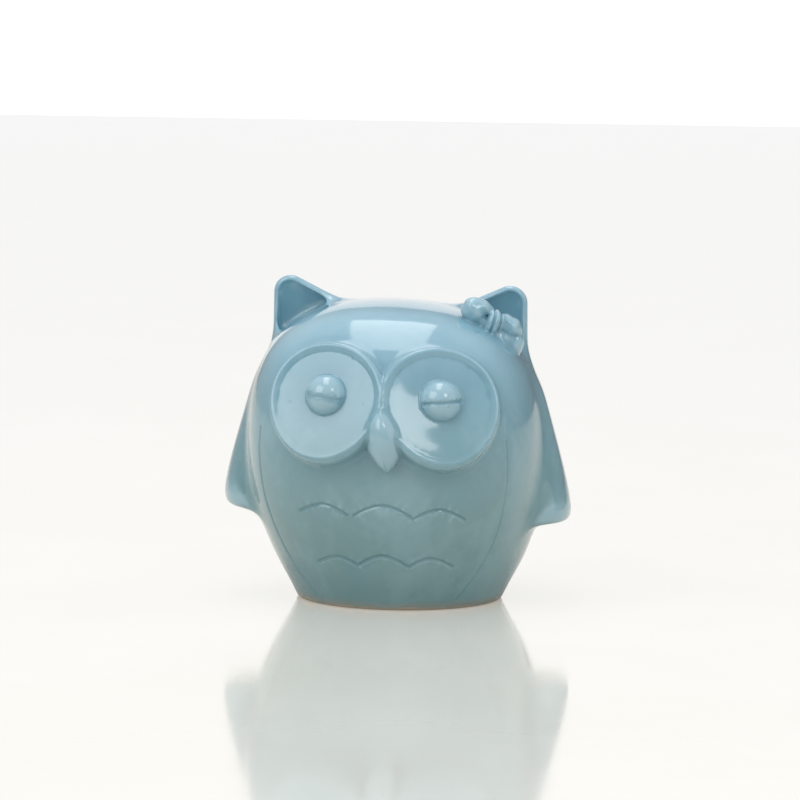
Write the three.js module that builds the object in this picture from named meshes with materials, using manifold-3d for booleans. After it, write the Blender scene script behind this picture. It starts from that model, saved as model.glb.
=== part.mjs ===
// A hand-sized ceramic owl coin bank: a hollow slip-cast body with cupped ears, wing fins, dished
// eye plates, domed eyes, a beak and a bow, and a soft stopper in the foot that slides out downwards.
// Millimetres, +Z up. The owl faces -Y, so its own left side is +X.
import * as THREE from "three";
import { mergeVertices } from "three/addons/utils/BufferGeometryUtils.js";
import Module from "manifold-3d";

// ---- Driving dimensions ----
const GAP = 0.3; // clearance between neighbouring pieces
const SET_BACK = 3; // the foot's centre lies this far behind the middle of the whole box

const CROWN_Z = 88; // top of the head between the ears
const FOOT_R = 32;
const BELLY_R = 45.6;
const BELLY_Z = 43;
const DEPTH_RATIO = 0.95; // body depth over body width
const HEAD_SQUARENESS = 0.6; // how much squarer than an ellipse the head is in plan
const WALL = 4;
const EDGE_ROUND = 1.4;

const RECESS_R = 26; // hollow under the foot, inside the standing ring
const RECESS_DEPTH = 4;
const FLOOR_TOP_Z = RECESS_DEPTH + 4;
const HOLE_R = 16;

const SLOT_LENGTH = 34;
const SLOT_HEIGHT = 5;
const SLOT_Z = 70;

const EAR_TIP = { x: 33.6, y: 5, z: 92.8, r: 4.2 }; // centre and radius of the rounded tip
const EAR_LEAN = THREE.MathUtils.degToRad(33);
const EAR_SPREAD = 0.65; // growth of the radius per millimetre down the ear
const EAR_LENGTH = 22;
const EAR_THICKNESS = 0.62; // front-to-back size over side-to-side size
const EAR_WALL = 2.6;

const WING_TIP_X = 52.5;
const WING_BOTTOM_Z = 22.6;
const WING_TOP_Z = 76;
const WING_BLUNT = 4.4; // height of the upright edge above the tip
const WING_SWEEP = { scale: 0.08, power: 1.35 }; // how the fin's edge draws in above that
const WING_Y = 2;
const WING_HALF_DEPTH = { low: 15.5, high: 7 };

const DISC = { x: 17.1, y: -41.2, z: 62.4, halfWidth: 17.6, halfHeight: 19 };
const DISC_TILT = THREE.MathUtils.degToRad(21);
const DISC_TURN = THREE.MathUtils.degToRad(15);
const DISC_LEAN = THREE.MathUtils.degToRad(6); // the two ovals lean towards each other at the top
const DISC_RIM = 3.1;
const DISC_DISH = 2.2;
const DISC_FLARE = 0.04; // growth of the plate's radius per millimetre towards the head
const DISC_DEPTH = 22;
const SEAT = 4.5; // how deep the eye plates sit in the head

const EYE_R = 6.3;
const EYE_RISE = 3.6; // above the plane of the disc's rim
const EYE_OFFSET = { x: 0.6, z: 2.2 };

const BEAK = { topZ: 61.5, tipZ: 40.6, wideZ: 51, halfWidth: 5.5, rise: 7.5, y: -43 };

const BOW = { x: 29.8, y: -12.5, z: 83 };
const BOW_DROOP = THREE.MathUtils.degToRad(37);
const BOW_FACING = THREE.MathUtils.degToRad(-30);
const BOW_LOOP = { length: 10.6, halfHeight: 5.6, halfDepth: 3.9 };
const BOW_KNOT = { halfWidth: 2.7, halfHeight: 4.4, halfDepth: 3.9 };

const STOPPER = { flangeR: 19.5, flangeThickness: 1.5, plugTopZ: 10.5, ribR: 15.6, neckR: 14.9 };
const GRIP = { length: 17, width: 3, groundClearance: 0.7 };

// ---- Solid helpers ----
const wasm = await Module();
wasm.setup();

function solidOf(geometry) {
  const bare = geometry.clone();
  bare.deleteAttribute("normal");
  bare.deleteAttribute("uv");
  const merged = mergeVertices(bare, 1e-4);
  return new wasm.Manifold(
    new wasm.Mesh({
      numProp: 3,
      vertProperties: merged.attributes.position.array,
      triVerts: new Uint32Array(merged.index.array),
    }),
  );
}

function geometryOf(solid) {
  const mesh = solid.getMesh();
  const geometry = new THREE.BufferGeometry();
  geometry.setAttribute("position", new THREE.BufferAttribute(mesh.vertProperties, 3));
  geometry.setIndex(new THREE.BufferAttribute(mesh.triVerts, 1));
  geometry.computeVertexNormals();
  return geometry;
}

// A closed solid turned round the Z axis from an outline of [radius, height] points.
function turned(outline, segments) {
  const points = outline.map(([radius, height]) => new THREE.Vector2(radius, height));
  return new THREE.LatheGeometry(points, segments).rotateX(Math.PI / 2);
}

// Moves every vertex of a geometry by a function that changes the point it is given.
function shaped(geometry, change) {
  const position = geometry.attributes.position;
  const point = new THREE.Vector3();
  for (let i = 0; i < position.count; i++) {
    point.fromBufferAttribute(position, i);
    change(point);
    position.setXYZ(i, point.x, point.y, point.z);
  }
  return geometry;
}

const smooth = (low, high, value) => THREE.MathUtils.smoothstep(value, low, high);

// ---- Body ----
// The body's half outline, from the standing ring up to the crown, moved outwards by grow.
function bodyOutline(grow, steps) {
  const flank = new THREE.CubicBezierCurve(
    new THREE.Vector2(FOOT_R, 0),
    new THREE.Vector2(FOOT_R + 4.2, BELLY_Z * 0.24),
    new THREE.Vector2(BELLY_R, BELLY_Z * 0.55),
    new THREE.Vector2(BELLY_R, BELLY_Z),
  );
  const dome = new THREE.CubicBezierCurve(
    new THREE.Vector2(BELLY_R, BELLY_Z),
    new THREE.Vector2(BELLY_R, BELLY_Z + 30),
    new THREE.Vector2(BELLY_R - 7.5, CROWN_Z),
    new THREE.Vector2(0, CROWN_Z),
  );
  const outline = [];
  for (const [curve, count] of [[flank, steps], [dome, steps + 2]]) {
    for (let i = curve === flank ? 0 : 1; i <= count; i++) {
      const at = curve.getPoint(i / count);
      const along = curve.getTangent(i / count);
      outline.push([Math.max(0, at.x + along.y * grow), at.y - along.x * grow]);
    }
  }
  outline[outline.length - 1][0] = 0;
  return outline;
}

// Turns a round section into the body's own plan: an ellipse at the foot, squarer at the head.
function bodyPlan(point) {
  const power = 2 + HEAD_SQUARENESS * smooth(10, 60, point.z);
  const radius = Math.hypot(point.x, point.y);
  if (radius > 0) {
    const across = Math.abs(point.x / radius) ** power;
    const through = Math.abs(point.y / radius) ** power;
    const swell = (across + through) ** (-1 / power);
    point.x *= swell;
    point.y *= swell * DEPTH_RATIO;
  }
}

function bodySolid(grow, segments, steps) {
  const outline = bodyOutline(grow, steps);
  const [footR] = outline[0];
  const foot = [[0, -grow], [footR - EDGE_ROUND, -grow]];
  const sides = outline.filter(([, z]) => z > EDGE_ROUND * 0.8);
  return solidOf(shaped(turned([...foot, ...sides], segments), bodyPlan));
}

function chamberSolid() {
  const sides = bodyOutline(-WALL, 7).filter(([, z]) => z > FLOOR_TOP_Z + 3);
  const [lowestR] = sides[0];
  const floor = [[0, FLOOR_TOP_Z], [lowestR - 3.4, FLOOR_TOP_Z]];
  const egg = solidOf(shaped(turned([...floor, ...sides], 32), bodyPlan));
  return egg.subtract(discBacking(1)).subtract(discBacking(-1));
}

function coinSlot() {
  const half = SLOT_HEIGHT / 2;
  const reach = (SLOT_LENGTH - SLOT_HEIGHT) / 2;
  const outline = new THREE.Shape();
  outline.absarc(reach, 0, half, -Math.PI / 2, Math.PI / 2);
  outline.absarc(-reach, 0, half, Math.PI / 2, (3 * Math.PI) / 2);
  const cutter = new THREE.ExtrudeGeometry(outline, { depth: 40, bevelEnabled: false, curveSegments: 8 });
  return solidOf(cutter.rotateX(-Math.PI / 2).translate(0, 22, SLOT_Z));
}

function cylinder(radius, bottom, top, segments) {
  return solidOf(turned([[0, bottom], [radius, bottom], [radius, top], [0, top]], segments));
}

const body = (grow) => bodySolid(grow, 48, 9);

function bodyShell() {
  return body(0)
    .subtract(discSeat(1))
    .subtract(discSeat(-1))
    .subtract(chamberSolid())
    .subtract(coinSlot())
    .subtract(cylinder(RECESS_R, -5, RECESS_DEPTH, 48))
    .subtract(cylinder(HOLE_R, -5, FLOOR_TOP_Z + 5, 48));
}

// ---- Ears ----
// A cone with a round tip, hollowed in front. side is 1 for the owl's left and -1 for its right.
function earCone(side, grow, forward) {
  const tipR = EAR_TIP.r + grow;
  const outline = [[0, -EAR_LENGTH]];
  outline.push([tipR / Math.cos(EAR_LEAN) + EAR_LENGTH * EAR_SPREAD, -EAR_LENGTH]);
  for (let i = 0; i <= 5; i++) {
    const angle = EAR_LEAN + (i / 5) * (Math.PI / 2 - EAR_LEAN);
    outline.push([tipR * Math.cos(angle), tipR * Math.sin(angle)]);
  }
  outline[outline.length - 1][0] = 0;
  const cone = turned(outline, 28).scale(1, EAR_THICKNESS, 1).rotateY(side * EAR_LEAN);
  return solidOf(cone.translate(side * EAR_TIP.x, EAR_TIP.y - forward, EAR_TIP.z));
}

function ear(side) {
  const cup = earCone(side, 0, 0).subtract(earCone(side, -EAR_WALL, 5.4));
  const shoulder = solidOf(new THREE.BoxGeometry(120, 120, 40).translate(0, 0, WING_TOP_Z + GAP - 20));
  return cup.subtract(body(GAP)).subtract(shoulder);
}

// ---- Wings ----
// A stack of ellipses whose outer edge sweeps out from the shoulder to a blunt tip.
function wing(side) {
  const levels = [0, 0.6, 2, 5, 10, 16, 23, 30, 37, 44, 50, WING_TOP_Z - WING_BOTTOM_Z];
  const segments = 22;
  const points = [];
  for (const rise of levels) {
    const z = WING_BOTTOM_Z + rise;
    const above = Math.max(0, rise - WING_BLUNT);
    const tuck = 2.6 * (1 - Math.sqrt(1 - (1 - Math.min(1, rise / 5)) ** 2));
    const outer = WING_TIP_X - WING_SWEEP.scale * above ** WING_SWEEP.power - tuck;
    const halfX = 11 - tuck;
    const height = rise / (WING_TOP_Z - WING_BOTTOM_Z);
    const halfY = THREE.MathUtils.lerp(WING_HALF_DEPTH.low, WING_HALF_DEPTH.high, height) - tuck;
    for (let i = 0; i < segments; i++) {
      const angle = (i / segments) * 2 * Math.PI;
      const x = side * (outer - halfX + halfX * Math.cos(angle));
      points.push(new THREE.Vector3(x, WING_Y + halfY * Math.sin(angle), z));
    }
  }
  return solidOf(lofted(points, segments, side)).subtract(body(GAP));
}

// A closed surface over rings of points, listed ring by ring from the bottom to the top.
function lofted(points, segments, side) {
  const rings = points.length / segments;
  const bottom = points.length;
  const middle = (ring) => {
    const sum = new THREE.Vector3();
    for (let i = 0; i < segments; i++) {
      sum.add(points[ring * segments + i]);
    }
    return sum.divideScalar(segments);
  };
  const all = [...points, middle(0), middle(rings - 1)];
  const triangles = [];
  for (let i = 0; i < segments; i++) {
    const next = (i + 1) % segments;
    triangles.push([bottom, next, i]);
    triangles.push([bottom + 1, (rings - 1) * segments + i, (rings - 1) * segments + next]);
    for (let ring = 0; ring < rings - 1; ring++) {
      const low = ring * segments;
      const high = low + segments;
      triangles.push([low + i, low + next, high + next]);
      triangles.push([low + i, high + next, high + i]);
    }
  }
  const geometry = new THREE.BufferGeometry().setFromPoints(all);
  geometry.setIndex(triangles.flatMap((t) => (side > 0 ? t : [t[0], t[2], t[1]])));
  return geometry;
}

// ---- Face ----
// Places a solid made round the Z axis on an eye plate, so that its +Z looks out of the face.
function onDisc(geometry, side) {
  return geometry
    .rotateZ(side * DISC_LEAN)
    .rotateX(Math.PI / 2 - DISC_TILT)
    .rotateZ(side * DISC_TURN)
    .translate(side * DISC.x, DISC.y, DISC.z);
}

// The oval block an eye plate is cut from. Its front is dished, or carried straight on when it
// is used to cut the seat.
function discSolid(side, grow, dished = true) {
  const rim = DISC.halfWidth + grow;
  const inner = DISC.halfWidth - DISC_RIM - grow;
  const outline = [[0, -DISC_DEPTH], [rim + DISC_DEPTH * DISC_FLARE, -DISC_DEPTH]];
  outline.push([rim + 0.3, -1.6 + grow]);
  if (dished) {
    outline.push([rim - 0.7, -0.5 + grow], [rim - 1.7, grow]);
    for (let i = 0; i <= 5; i++) {
      const share = 1 - i / 5;
      outline.push([inner * share, grow - DISC_DISH * (1 - share ** 2)]);
    }
    outline[outline.length - 1][0] = 0;
  } else {
    outline.push([rim + 0.3, 8], [0, 8]);
  }
  const plate = turned(outline, 40).scale(1, DISC.halfHeight / DISC.halfWidth, 1);
  return solidOf(onDisc(plate, side));
}

function eyeDisc(side) {
  const otherSide = solidOf(new THREE.BoxGeometry(80, 80, 80).translate(side * (GAP / 2 - 40), -60, DISC.z));
  return discSolid(side, 0).subtract(otherSide).subtract(body(-SEAT));
}

// The shallow seat in the head that an eye plate is bedded in, a clearance larger all round.
function discSeat(side) {
  return discSolid(side, GAP, false).subtract(body(-SEAT - GAP));
}

// Keeps the wall its full thickness behind a seat, by filling that part of the chamber.
function discBacking(side) {
  return discSolid(side, 2.5, false).subtract(body(-SEAT - WALL));
}

function eye(side) {
  const outline = [[0, -DISC_DISH - 1], [EYE_R, -DISC_DISH - 1]];
  for (let i = 0; i <= 6; i++) {
    const angle = (i / 6) * (Math.PI / 2);
    outline.push([EYE_R * Math.cos(angle), -DISC_DISH + (EYE_RISE + DISC_DISH) * Math.sin(angle)]);
  }
  outline[outline.length - 1][0] = 0;
  const dome = turned(outline, 28).translate(side * EYE_OFFSET.x, EYE_OFFSET.z, 0);
  return solidOf(onDisc(dome, side)).subtract(discSolid(side, GAP));
}

// A kite-shaped ridge, widest a little below its middle, as a stack of ellipses.
function beak() {
  const segments = 20;
  const steps = 10;
  const points = [];
  for (let i = 0; i <= steps; i++) {
    const z = BEAK.tipZ + ((BEAK.topZ - BEAK.tipZ) * i) / steps;
    const below = z < BEAK.wideZ;
    const reach = below ? BEAK.wideZ - BEAK.tipZ : BEAK.topZ - BEAK.wideZ;
    const share = Math.abs(z - BEAK.wideZ) / reach;
    const fullness = Math.max(0.1, 1 - share ** (below ? 1.9 : 1.5));
    for (let j = 0; j < segments; j++) {
      const angle = (j / segments) * 2 * Math.PI;
      const x = BEAK.halfWidth * fullness * Math.cos(angle);
      points.push(new THREE.Vector3(x, BEAK.y + BEAK.rise * fullness ** 0.7 * Math.sin(angle), z));
    }
  }
  const kite = solidOf(lofted(points, segments, 1));
  return kite.subtract(discSolid(1, GAP)).subtract(discSolid(-1, GAP)).subtract(body(GAP));
}

// ---- Bow ----
// Places a bow piece, made with its length along X and its front towards -Y, on the left ear.
function onBow(geometry) {
  return geometry.rotateZ(-BOW_FACING * 0.5).rotateY(BOW_DROOP).translate(BOW.x, BOW.y, BOW.z);
}

function bowLoop(direction, grow) {
  const outline = [[0, 0]];
  for (let i = 1; i < 9; i++) {
    const share = i / 9;
    const swell = Math.sin(Math.PI * share ** 1.25) ** 0.62;
    outline.push([BOW_LOOP.halfHeight * swell + grow, BOW_LOOP.length * share + grow * (share - 0.5)]);
  }
  outline.push([0, BOW_LOOP.length + grow]);
  const puff = turned(outline, 20).scale(BOW_LOOP.halfDepth / BOW_LOOP.halfHeight, 1, 1);
  puff.rotateZ(Math.PI / 2).rotateY((direction * Math.PI) / 2);
  return solidOf(onBow(shaped(puff.rotateX(Math.PI / 2), (p) => p.setX(p.x + direction * 1.2))));
}

function bowKnot(grow) {
  const knot = new THREE.SphereGeometry(1, 20, 12);
  knot.scale(BOW_KNOT.halfWidth + grow, BOW_KNOT.halfDepth + grow, BOW_KNOT.halfHeight + grow);
  return solidOf(onBow(knot));
}

// ---- Stopper ----
function stopper() {
  const { flangeR, flangeThickness, plugTopZ, ribR, neckR } = STOPPER;
  const flangeTop = RECESS_DEPTH - GAP;
  const flangeBottom = flangeTop - flangeThickness;
  const plug = turned(
    [
      [0, flangeBottom], [flangeR - 0.4, flangeBottom], [flangeR, flangeBottom + 0.5], [flangeR, flangeTop],
      [neckR, flangeTop], [neckR, 4.8], [ribR, 5.4], [neckR, 6.1], [neckR, 6.6], [ribR, 7.2], [neckR, 7.9],
      [neckR - 1.2, plugTopZ - 0.6], [neckR - 1.9, plugTopZ], [0, plugTopZ],
    ],
    40,
  );
  const gripHeight = flangeBottom - GRIP.groundClearance + 0.2;
  const grip = new THREE.BoxGeometry(GRIP.length, GRIP.width, gripHeight);
  return solidOf(plug).add(solidOf(grip.translate(0, 0, GRIP.groundClearance + gripHeight / 2)));
}

// ---- Assembly ----
const GLAZE = { color: 0x8fb9ca, roughness: 0.12, metalness: 0 };
const glazed = () => new THREE.MeshStandardMaterial(GLAZE);
const soft = () => new THREE.MeshStandardMaterial({ color: 0xdcd8cc, roughness: 0.55, metalness: 0 });

const owl = new THREE.Group();
owl.position.y = SET_BACK;

function place(name, solid, material = glazed()) {
  const mesh = new THREE.Mesh(geometryOf(solid), material);
  mesh.name = name;
  owl.add(mesh);
}

place("body_shell", bodyShell());
const bowTool = bowLoop(1, GAP).add(bowLoop(-1, GAP)).add(bowKnot(GAP));
place("left_ear", ear(1).subtract(bowTool));
place("right_ear", ear(-1));
for (const [name, side] of [["left", 1], ["right", -1]]) {
  place(`${name}_wing`, wing(side));
  place(`${name}_eye_disc`, eyeDisc(side));
  place(`${name}_eye`, eye(side));
}
place("beak", beak());
place("bow_inner_loop", bowLoop(-1, 0).subtract(bowKnot(GAP)).subtract(body(GAP)));
place("bow_outer_loop", bowLoop(1, 0).subtract(bowKnot(GAP)).subtract(body(GAP)));
place("bow_knot", bowKnot(0).subtract(body(GAP)));
place("stopper", stopper(), soft());

export default owl;
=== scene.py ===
"""An owl coin bank in glazed ceramic, with a soft stopper in its foot.

The casting is one smooth skin, found from distance formulas for the body, ears, wings, eye plates,
eyes, beak and bow. It is cut along the joins into the pieces that a potter would make, and each
piece is closed at its back. The owl faces -Y and its own left side is +X.
"""

import math

import bpy
import numpy as np
from mathutils import Matrix, Vector


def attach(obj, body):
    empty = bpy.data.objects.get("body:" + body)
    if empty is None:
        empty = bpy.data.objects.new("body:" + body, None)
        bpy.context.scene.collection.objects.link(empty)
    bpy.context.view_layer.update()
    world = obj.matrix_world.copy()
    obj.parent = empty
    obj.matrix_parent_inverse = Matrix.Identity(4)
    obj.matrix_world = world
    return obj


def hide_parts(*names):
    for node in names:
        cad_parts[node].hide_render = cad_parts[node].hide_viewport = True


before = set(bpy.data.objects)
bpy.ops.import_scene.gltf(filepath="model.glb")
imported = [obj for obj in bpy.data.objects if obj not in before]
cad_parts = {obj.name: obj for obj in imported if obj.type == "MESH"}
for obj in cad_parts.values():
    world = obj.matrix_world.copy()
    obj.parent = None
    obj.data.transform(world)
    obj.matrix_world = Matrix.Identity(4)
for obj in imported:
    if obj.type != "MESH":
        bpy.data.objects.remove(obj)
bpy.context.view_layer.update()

bl_info = {
    "name": "Owl Coin Bank",
    "version": (1, 0, 0),
    "blender": (4, 5, 0),
    "location": "3D View > Sidebar > Owl Bank",
    "description": "Builds a glazed ceramic owl coin bank and a small studio around it",
    "category": "Object",
}

MM = 0.001
SET_BACK = 3.0  # mm from the middle of the whole box back to the foot's centre
SKIN_GRID = 1.08  # mm between the grid lines that first find the skin


# ---- Small formulas ----
def rad(degrees):
    return math.radians(degrees)


def smooth_step(low, high, value):
    t = np.clip((value - low) / (high - low), 0.0, 1.0)
    return t * t * (3.0 - 2.0 * t)


def join(a, b, blend):
    """Union of two distances with a fillet about blend millimetres wide."""
    h = np.maximum(blend - np.abs(a - b), 0.0) / blend
    return np.minimum(a, b) - h * h * h * blend / 6.0


def meet(a, b, blend):
    """Intersection of two distances with a rounded edge."""
    return -join(-a, -b, blend)


def carve(a, tool, blend):
    return meet(a, -tool, blend)


def rotation(axis, angle):
    return np.array(Matrix.Rotation(angle, 3, axis))


def bezier(points, count):
    t = np.linspace(0.0, 1.0, count)[:, None]
    a, b, c, d = (np.array(p, float) for p in points)
    u = 1.0 - t
    return u**3 * a + 3 * u * u * t * b + 3 * u * t * t * c + t**3 * d


# ---- The owl's measures, in millimetres ----
FOOT_R = 30.7
BELLY_R = 44.9
BELLY_Z = 43.0
CROWN_Z = 90.7
DEPTH_RATIO = 0.95  # front to back over side to side
SQUARENESS = 0.33  # how much squarer than a circle the head is, seen from above
WALL = 4.0

# The owl's left eye plate and eye; the right ones mirror them.
DISC_AT = np.array([17.3, -41.2, 63.3])
DISC_A, DISC_B, DISC_EGG = 18.1, 18.5, 0.07  # half width, half height, widening towards the top
DISC_TILT, DISC_TURN, DISC_LEAN = rad(21), rad(15), rad(6)
DISC_BLOCK = 16.0  # how deep the plates' clay reaches into the head
DISC_CREST = 1.3  # width of the plates' outer crest
DISH_DEPTH = 1.4
EYE_R, EYE_RISE, EYE_SUNK = 6.3, 3.8, 2.4
EYE_U, EYE_V = 0.6, 2.2  # the eye's place on its plate, sideways and upwards
LID_DROP, LID_SAG = 0.9, 1.1  # the lid line below the eye's middle, and its sag between its ends

EAR_AT = np.array([33.5, 5.0, 90.8])  # centre of the left ear's rounded tip
EAR_TIP_R, EAR_LEAN, EAR_HALF_ANGLE, EAR_THICK, EAR_LENGTH = 5.2, rad(32), rad(33), 0.6, 26.0
EAR_RIM, EAR_SCOOP = 1.7, 0.42

WING_TIP_X, WING_BOTTOM_Z, WING_RISE, WING_Y = 52.9, 25.5, 53.4, 2.0
WING_LOW_HALF, WING_NARROWING = 15.5, 8.5  # half depth at the bottom, and what it loses on the way up
WING_BLUNT, WING_SWEEP, WING_POWER = 4.4, 0.08, 1.35  # upright edge, then how the fin draws in
WING_REACH = 11.0  # half width of the fin's rounded edge

BOW_AT = np.array([29.2, -10.5, 86.2])
BOW_DROOP, BOW_FACING = rad(33), rad(15)

BEAK_TOP, BEAK_TIP, BEAK_WIDE = 62.5, 43.2, 53.0
BEAK_HALF, BEAK_RISE, BEAK_BACK_Y = 5.6, 6.3, -44.0
BEAK_SLANT = 0.09  # the tip leans to the owl's left

HAND_LEAN = 0.03  # the owl's left side sits this much lower for every millimetre sideways
FOOT_SHIFT = 1.2  # the low part of the body stands this far to the owl's left

SLOT_LENGTH, SLOT_HEIGHT, SLOT_Z = 34.0, 5.0, 70.0
SLOT_FROM_Y = 22.0
RECESS_R, RECESS_DEPTH, HOLE_R, HOLE_TOP_Z = 26.0, 4.0, 16.0, 13.0


# ---- Distance formulas ----
def evened(p):
    """Takes the small hand-made lean out of points, so that the formulas can be even-sided."""
    q = p.copy()
    q[:, 0] -= FOOT_SHIFT * (1.0 - smooth_step(2, 34, p[:, 2]))
    q[:, 2] += HAND_LEAN * p[:, 0] * smooth_step(3, 24, p[:, 2])
    return q


def leaned(q):
    """Puts the lean back into points that lie well above the foot."""
    p = q.copy()
    p[:, 2] -= HAND_LEAN * q[:, 0] * smooth_step(3, 24, q[:, 2])
    return p


def egg_profile():
    """The body's half outline as a smooth distance from its middle for every angle."""
    under = bezier([(0, -18), (16, -18), (27.5, -11), (FOOT_R, 0)], 60)
    belly = (BELLY_R, BELLY_Z)
    flank = bezier([(FOOT_R, 0), (FOOT_R + 5.6, BELLY_Z * 0.24), (BELLY_R, BELLY_Z * 0.55), belly], 120)
    dome = bezier([belly, (BELLY_R, BELLY_Z + 30), (BELLY_R - 7.5, CROWN_Z), (0, CROWN_Z)], 160)
    line = np.vstack([under[:-1], flank[:-1], dome])
    angle = np.arctan2(line[:, 1] - BELLY_Z, line[:, 0])
    reach = np.hypot(line[:, 0], line[:, 1] - BELLY_Z)
    past_crown = slice(-30, -1)
    mirrored = np.concatenate([angle, np.pi - angle[past_crown]])
    return np.polynomial.Chebyshev.fit(mirrored, np.concatenate([reach, reach[past_crown]]), 26)


PROFILE = egg_profile()
PROFILE_SLOPE = PROFILE.deriv()


def egg(p):
    """Distance to the plain body."""
    x, y, z = p[:, 0], p[:, 1] / DEPTH_RATIO, p[:, 2]
    across = x * x + y * y
    square = SQUARENESS * smooth_step(10, 60, z) * smooth_step(4, 22, np.sqrt(across))
    swell = 1.0 + square * x * x * y * y / np.maximum(across * across, 1e-6)
    reach = np.sqrt(across) / swell
    angle = np.arctan2(z - BELLY_Z, reach)
    radius = PROFILE(angle)
    slope = PROFILE_SLOPE(angle) / radius
    return (np.hypot(reach, z - BELLY_Z) - radius) / np.sqrt(1.0 + slope * slope)


def disc_frame(side):
    """The axes (sideways, upwards, outwards) and centre of one eye plate; side is 1 or -1."""
    turn = rotation("Z", side * DISC_TURN) @ rotation("X", math.pi / 2 - DISC_TILT)
    return turn @ rotation("Z", side * DISC_LEAN), DISC_AT * [side, 1, 1]


def disc_local(p, side):
    """Points on a plate's own axes, and how far they lie inside its outline."""
    axes, centre = disc_frame(side)
    q = (p - centre) @ axes
    length = np.hypot(q[:, 0], q[:, 1])
    wide = DISC_A * (1.0 + DISC_EGG * np.clip(q[:, 1] / DISC_B, -1, 1))
    share = np.sqrt((q[:, 0] / wide) ** 2 + (q[:, 1] / DISC_B) ** 2)
    inward = np.where(share > 1e-5, length * (1.0 / np.maximum(share, 1e-5) - 1.0), DISC_A)
    return q[:, 0], q[:, 1], q[:, 2], inward


def dish(inward, up):
    """Height of a plate's front. The step inside its crest is deep above and fades out below."""
    step = 0.25 + 0.6 * smooth_step(-0.6, 0.7, up)
    return -step * smooth_step(1.1, 3.3, inward) - DISH_DEPTH * smooth_step(1.5, 17, inward)


def plate(p, side):
    """Distances to the clay of one eye plate and to what is scooped out of its front."""
    _, v, w, inward = disc_local(p, side)
    front = dish(inward, v / DISC_B)
    block = meet(w - front, -inward - 0.02 * w, 2.8)
    block = np.maximum(block, -w - DISC_BLOCK)
    scoop = np.maximum(front - w, DISC_CREST - inward)
    return block, scoop


def eyeball(p, side):
    """A flattened ball sunk into its plate."""
    u, v, w, _ = disc_local(p, side)
    across = ((u - side * EYE_U) / EYE_R) ** 2 + ((v - EYE_V) / EYE_R) ** 2
    e = np.sqrt(across + ((w + EYE_SUNK) / (EYE_RISE + EYE_SUNK)) ** 2)
    return (e - 1.0) * EYE_R


def beak(p):
    """An almond that is fullest at BEAK_WIDE and runs out to a point at each end."""
    x, y, z = p[:, 0], p[:, 1], p[:, 2]
    x = x - BEAK_SLANT * (BEAK_TOP - z)
    above = (z - BEAK_WIDE) / (BEAK_TOP - BEAK_WIDE)
    below = (BEAK_WIDE - z) / (BEAK_WIDE - BEAK_TIP)
    t = np.where(z > BEAK_WIDE, above, below)
    full = np.sqrt(np.clip(1.0 - np.abs(t) ** 2.1, 0.0, 1.0) ** 1.8 + 0.012)
    half = BEAK_HALF * full
    back = BEAK_BACK_Y - 0.07 * (z - BEAK_WIDE)
    deep = np.where(y < back, BEAK_RISE * full**0.7, 12.0)
    e = np.abs(x / half) ** 1.7 + np.abs((y - back) / deep) ** 1.8
    solid = (e ** (1 / 1.75) - 1.0) * half * 0.8
    return meet(solid, np.maximum(z - BEAK_TOP - 0.5, BEAK_TIP - 0.3 - z), 1.5)


def cone(q, tip_r):
    """A cone with a round tip, for points given by their height over the tip and their radius."""
    along = q[1] * math.sin(EAR_HALF_ANGLE) - q[0] * math.cos(EAR_HALF_ANGLE)
    ball = np.hypot(q[0], q[1]) - tip_r
    flank = q[1] * math.cos(EAR_HALF_ANGLE) + q[0] * math.sin(EAR_HALF_ANGLE) - tip_r
    return np.where(along < 0, ball, flank)


def ear(p, side):
    """A flattened cone with a smaller one scooped out of its front."""
    q = (p - EAR_AT * [side, 1, 1]) @ rotation("Y", side * EAR_LEAN)
    outer = cone((q[:, 2], np.hypot(q[:, 0], q[:, 1] / EAR_THICK)), EAR_TIP_R) * 0.8
    behind = np.maximum(q[:, 1] + 1.4, 0.0) / EAR_SCOOP
    inner = cone((q[:, 2], np.hypot(q[:, 0], behind)), EAR_TIP_R - EAR_RIM) * 0.7
    return meet(carve(outer, inner, 2.4), -EAR_LENGTH - q[:, 2], 3.0)


def wing(p, side):
    """A fin with an elliptic section, which draws in and narrows on its way up."""
    x, y, z = p[:, 0] * side, p[:, 1] - WING_Y, p[:, 2]
    rise = np.clip(z - WING_BOTTOM_Z, -5, 70)
    outer = WING_TIP_X - WING_SWEEP * np.maximum(rise - WING_BLUNT, 0.0) ** WING_POWER
    half_y = WING_LOW_HALF - WING_NARROWING * np.clip(rise / WING_RISE, 0, 1)
    dx, dy = x - (outer - WING_REACH), y
    e = np.hypot(dx / WING_REACH, dy / half_y)
    grade = np.hypot(dx / WING_REACH**2, dy / half_y**2) / np.maximum(e, 1e-6)
    fin = (e - 1.0) / np.maximum(grade, 1e-3)
    fin = meet(fin, WING_BOTTOM_Z - z, 6.0)
    return meet(fin, z - 70.0, 12.0)


def bow_local(p):
    """Points on the bow's own axes: along it, front to back and upwards."""
    axes = rotation("Y", BOW_DROOP) @ rotation("Z", BOW_FACING)
    q = (p - BOW_AT) @ axes
    return q[:, 0], q[:, 1], q[:, 2]


def puff(x, y, z, centre, radii):
    """Rough distance to an ellipsoid."""
    e = np.sqrt(sum(((a - c) / r) ** 2 for a, c, r in zip((x, y, z), centre, radii)))
    return (e - 1.0) * min(radii)


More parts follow.
